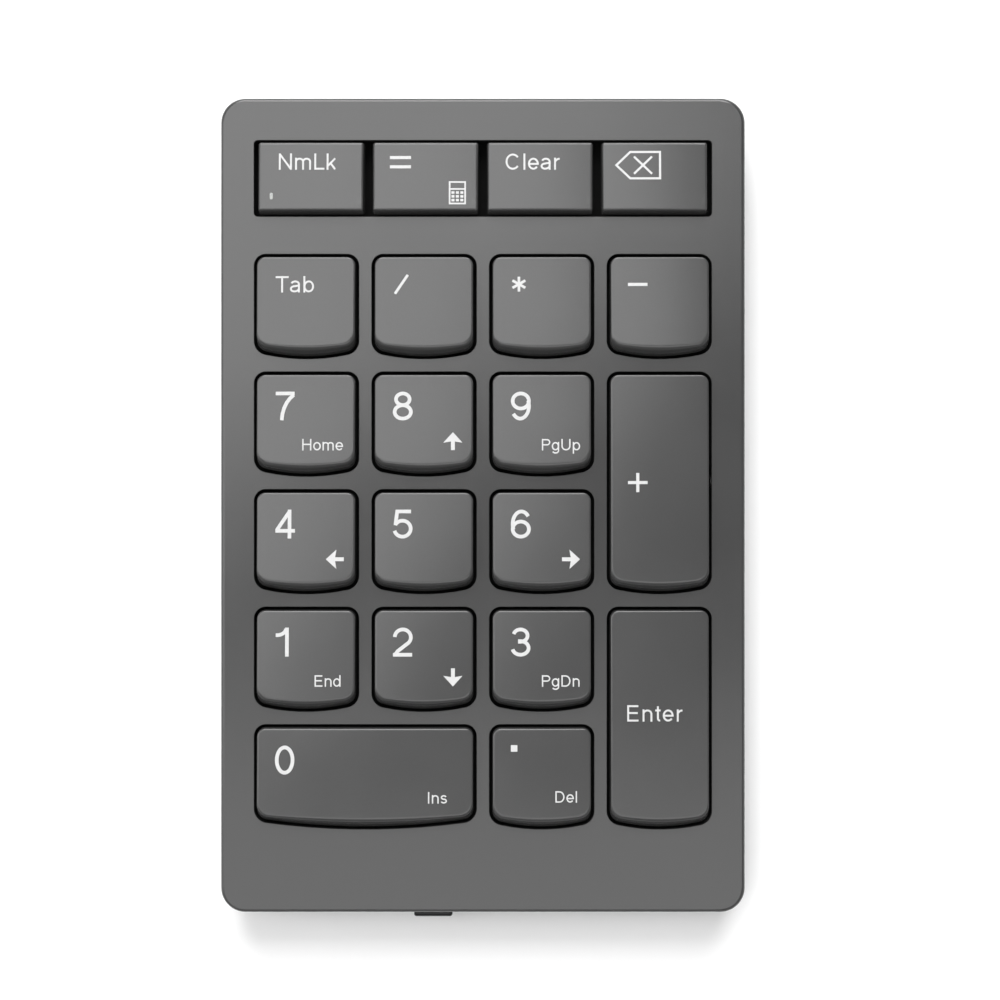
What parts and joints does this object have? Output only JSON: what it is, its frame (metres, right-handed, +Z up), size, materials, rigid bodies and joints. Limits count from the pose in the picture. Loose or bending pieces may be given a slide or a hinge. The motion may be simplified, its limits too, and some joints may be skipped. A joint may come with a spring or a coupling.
{
  "type": "numeric keypad",
  "caption": "Low-profile cordless numeric keypad: island keys in a one-piece deck over a rubber dome membrane, with a charging socket and a slide switch.",
  "frame": {"origin": "centre of the footprint, power switch knob included, on the surface that the feet stand on", "axes": "+X to the user's right, +Y away from the user, towards the charging socket, +Z up"},
  "size_m": [0.085, 0.1336, 0.0144],
  "materials": {
    "case_plastic": "fine matte texture, dark grey",
    "keycap_plastic": "fine matte texture, dark grey, white legends",
    "black_plastic": "glossy black",
    "guide_plastic": "matte black",
    "silicone": "milky silicone",
    "foot_rubber": "matte black",
    "film": "clear polyester with printed tracks",
    "sheet_steel": "zinc plated",
    "steel_wire": "drawn wire",
    "socket_steel": "nickel plated",
    "screw_steel": "black zinc",
    "board": "green solder mask",
    "chip_black": "moulded epoxy",
    "metal_can": "bright can",
    "ceramic_white": "glazed ceramic",
    "connector_white": "natural nylon",
    "battery_foil": "satin laminated foil",
    "tape": "adhesive tape",
    "lead_red": "vinyl insulation",
    "flat_cable": "white flat cable",
    "label": "blank printed label",
    "lens": "clear light pipe",
    "legend_white": "white screen-printed ink of the legends"
  },
  "bodies": {
    "case": {"top_cover": "case_plastic", "bottom_cover": "case_plastic", "rating_label": "label", "key_guide_frame": "guide_plastic", "rubber_dome_mat": "silicone", "membrane_upper": "film", "membrane_spacer": "film", "membrane_lower": "film", "steel_backplate": "sheet_steel", "power_switch_body": "metal_can", "switch_board": "board", "main_board": "board", "usb_c_socket_shell": "socket_steel", "usb_c_socket_tongue": "chip_black", "controller_chip": "chip_black", "charger_chip": "chip_black", "crystal": "metal_can", "antenna_chip": "ceramic_white", "num_lock_led": "ceramic_white", "battery_cell": "battery_foil", "battery_tape": "tape", "battery_leads": "lead_red", "switch_ribbon": "flat_cable", "ribbon_connectors": "connector_white", "membrane_connector": "connector_white", "case_screws": "screw_steel", "module_screws": "screw_steel", "board_screws": "screw_steel", "foot_front_left": "foot_rubber", "foot_front_right": "foot_rubber", "foot_rear_left": "foot_rubber", "foot_rear_right": "foot_rubber"},
    "key_num_lock": {"keycap_num_lock": "keycap_plastic", "num_lock_lens": "lens"},
    "key_equals": {"keycap_equals": "keycap_plastic"},
    "key_clear": {"keycap_clear": "keycap_plastic"},
    "key_backspace": {"keycap_backspace": "keycap_plastic"},
    "key_tab": {"keycap_tab": "keycap_plastic"},
    "key_divide": {"keycap_divide": "keycap_plastic"},
    "key_multiply": {"keycap_multiply": "keycap_plastic"},
    "key_minus": {"keycap_minus": "keycap_plastic"},
    "key_7": {"keycap_7": "keycap_plastic"},
    "key_8": {"keycap_8": "keycap_plastic"},
    "key_9": {"keycap_9": "keycap_plastic"},
    "key_plus": {"keycap_plus": "keycap_plastic"},
    "key_4": {"keycap_4": "keycap_plastic"},
    "key_5": {"keycap_5": "keycap_plastic"},
    "key_6": {"keycap_6": "keycap_plastic"},
    "key_1": {"keycap_1": "keycap_plastic"},
    "key_2": {"keycap_2": "keycap_plastic"},
    "key_3": {"keycap_3": "keycap_plastic"},
    "key_enter": {"keycap_enter": "keycap_plastic"},
    "key_0": {"keycap_0": "keycap_plastic"},
    "key_decimal": {"keycap_decimal": "keycap_plastic"},
    "bar_plus": {"levelling_bar_plus": "steel_wire"},
    "bar_enter": {"levelling_bar_enter": "steel_wire"},
    "bar_0": {"levelling_bar_0": "steel_wire"},
    "power_switch": {"power_switch_knob": "black_plastic", "power_switch_slider": "chip_black"}
  },
  "joints": [
    {"name": "key_num_lock_press", "type": "slide", "parent": "case", "child": "key_num_lock", "axis": [0, 0, -1], "range_m": [0, 0.0018], "stiffness_N_per_m": 250, "springref_m": -0.002, "deforming": ["rubber_dome_mat"]},
    {"name": "key_equals_press", "type": "slide", "parent": "case", "child": "key_equals", "axis": [0, 0, -1], "range_m": [0, 0.0018], "stiffness_N_per_m": 250, "springref_m": -0.002, "deforming": ["rubber_dome_mat"]},
    {"name": "key_clear_press", "type": "slide", "parent": "case", "child": "key_clear", "axis": [0, 0, -1], "range_m": [0, 0.0018], "stiffness_N_per_m": 250, "springref_m": -0.002, "deforming": ["rubber_dome_mat"]},
    {"name": "key_backspace_press", "type": "slide", "parent": "case", "child": "key_backspace", "axis": [0, 0, -1], "range_m": [0, 0.0018], "stiffness_N_per_m": 250, "springref_m": -0.002, "deforming": ["rubber_dome_mat"]},
    {"name": "key_tab_press", "type": "slide", "parent": "case", "child": "key_tab", "axis": [0, 0, -1], "range_m": [0, 0.0018], "stiffness_N_per_m": 250, "springref_m": -0.002, "deforming": ["rubber_dome_mat"]},
    {"name": "key_divide_press", "type": "slide", "parent": "case", "child": "key_divide", "axis": [0, 0, -1], "range_m": [0, 0.0018], "stiffness_N_per_m": 250, "springref_m": -0.002, "deforming": ["rubber_dome_mat"]},
    {"name": "key_multiply_press", "type": "slide", "parent": "case", "child": "key_multiply", "axis": [0, 0, -1], "range_m": [0, 0.0018], "stiffness_N_per_m": 250, "springref_m": -0.002, "deforming": ["rubber_dome_mat"]},
    {"name": "key_minus_press", "type": "slide", "parent": "case", "child": "key_minus", "axis": [0, 0, -1], "range_m": [0, 0.0018], "stiffness_N_per_m": 250, "springref_m": -0.002, "deforming": ["rubber_dome_mat"]},
    {"name": "key_7_press", "type": "slide", "parent": "case", "child": "key_7", "axis": [0, 0, -1], "range_m": [0, 0.0018], "stiffness_N_per_m": 250, "springref_m": -0.002, "deforming": ["rubber_dome_mat"]},
    {"name": "key_8_press", "type": "slide", "parent": "case", "child": "key_8", "axis": [0, 0, -1], "range_m": [0, 0.0018], "stiffness_N_per_m": 250, "springref_m": -0.002, "deforming": ["rubber_dome_mat"]},
    {"name": "key_9_press", "type": "slide", "parent": "case", "child": "key_9", "axis": [0, 0, -1], "range_m": [0, 0.0018], "stiffness_N_per_m": 250, "springref_m": -0.002, "deforming": ["rubber_dome_mat"]},
    {"name": "key_plus_press", "type": "slide", "parent": "case", "child": "key_plus", "axis": [0, 0, -1], "range_m": [0, 0.0018], "stiffness_N_per_m": 250, "springref_m": -0.002, "deforming": ["rubber_dome_mat"]},
    {"name": "key_4_press", "type": "slide", "parent": "case", "child": "key_4", "axis": [0, 0, -1], "range_m": [0, 0.0018], "stiffness_N_per_m": 250, "springref_m": -0.002, "deforming": ["rubber_dome_mat"]},
    {"name": "key_5_press", "type": "slide", "parent": "case", "child": "key_5", "axis": [0, 0, -1], "range_m": [0, 0.0018], "stiffness_N_per_m": 250, "springref_m": -0.002, "deforming": ["rubber_dome_mat"]},
    {"name": "key_6_press", "type": "slide", "parent": "case", "child": "key_6", "axis": [0, 0, -1], "range_m": [0, 0.0018], "stiffness_N_per_m": 250, "springref_m": -0.002, "deforming": ["rubber_dome_mat"]},
    {"name": "key_1_press", "type": "slide", "parent": "case", "child": "key_1", "axis": [0, 0, -1], "range_m": [0, 0.0018], "stiffness_N_per_m": 250, "springref_m": -0.002, "deforming": ["rubber_dome_mat"]},
    {"name": "key_2_press", "type": "slide", "parent": "case", "child": "key_2", "axis": [0, 0, -1], "range_m": [0, 0.0018], "stiffness_N_per_m": 250, "springref_m": -0.002, "deforming": ["rubber_dome_mat"]},
    {"name": "key_3_press", "type": "slide", "parent": "case", "child": "key_3", "axis": [0, 0, -1], "range_m": [0, 0.0018], "stiffness_N_per_m": 250, "springref_m": -0.002, "deforming": ["rubber_dome_mat"]},
    {"name": "key_enter_press", "type": "slide", "parent": "case", "child": "key_enter", "axis": [0, 0, -1], "range_m": [0, 0.0018], "stiffness_N_per_m": 250, "springref_m": -0.002, "deforming": ["rubber_dome_mat"]},
    {"name": "key_0_press", "type": "slide", "parent": "case", "child": "key_0", "axis": [0, 0, -1], "range_m": [0, 0.0018], "stiffness_N_per_m": 250, "springref_m": -0.002, "deforming": ["rubber_dome_mat"]},
    {"name": "key_decimal_press", "type": "slide", "parent": "case", "child": "key_decimal", "axis": [0, 0, -1], "range_m": [0, 0.0018], "stiffness_N_per_m": 250, "springref_m": -0.002, "deforming": ["rubber_dome_mat"]},
    {"name": "bar_plus_swing", "type": "hinge", "parent": "case", "child": "bar_plus", "pos_m": [0.02784, 0.00443, 0.0093], "axis": [0, -1, 0], "range_deg": [0, 19.5]},
    {"name": "bar_enter_swing", "type": "hinge", "parent": "case", "child": "bar_enter", "pos_m": [0.02784, -0.03367, 0.0093], "axis": [0, -1, 0], "range_deg": [0, 19.5]},
    {"name": "bar_0_swing", "type": "hinge", "parent": "case", "child": "bar_0", "pos_m": [-0.01905, -0.04246, 0.0093], "axis": [-1, 0, 0], "range_deg": [0, 19.5]},
    {"name": "power_switch_slide", "type": "slide", "parent": "case", "child": "power_switch", "axis": [1, 0, 0], "range_m": [0, 0.002]}
  ],
  "couplings": [
    {"joint": "bar_plus_swing", "follows": "key_plus_press", "rad_per_m": 185.86},
    {"joint": "bar_enter_swing", "follows": "key_enter_press", "rad_per_m": 185.86},
    {"joint": "bar_0_swing", "follows": "key_0_press", "rad_per_m": 185.86}
  ]
}
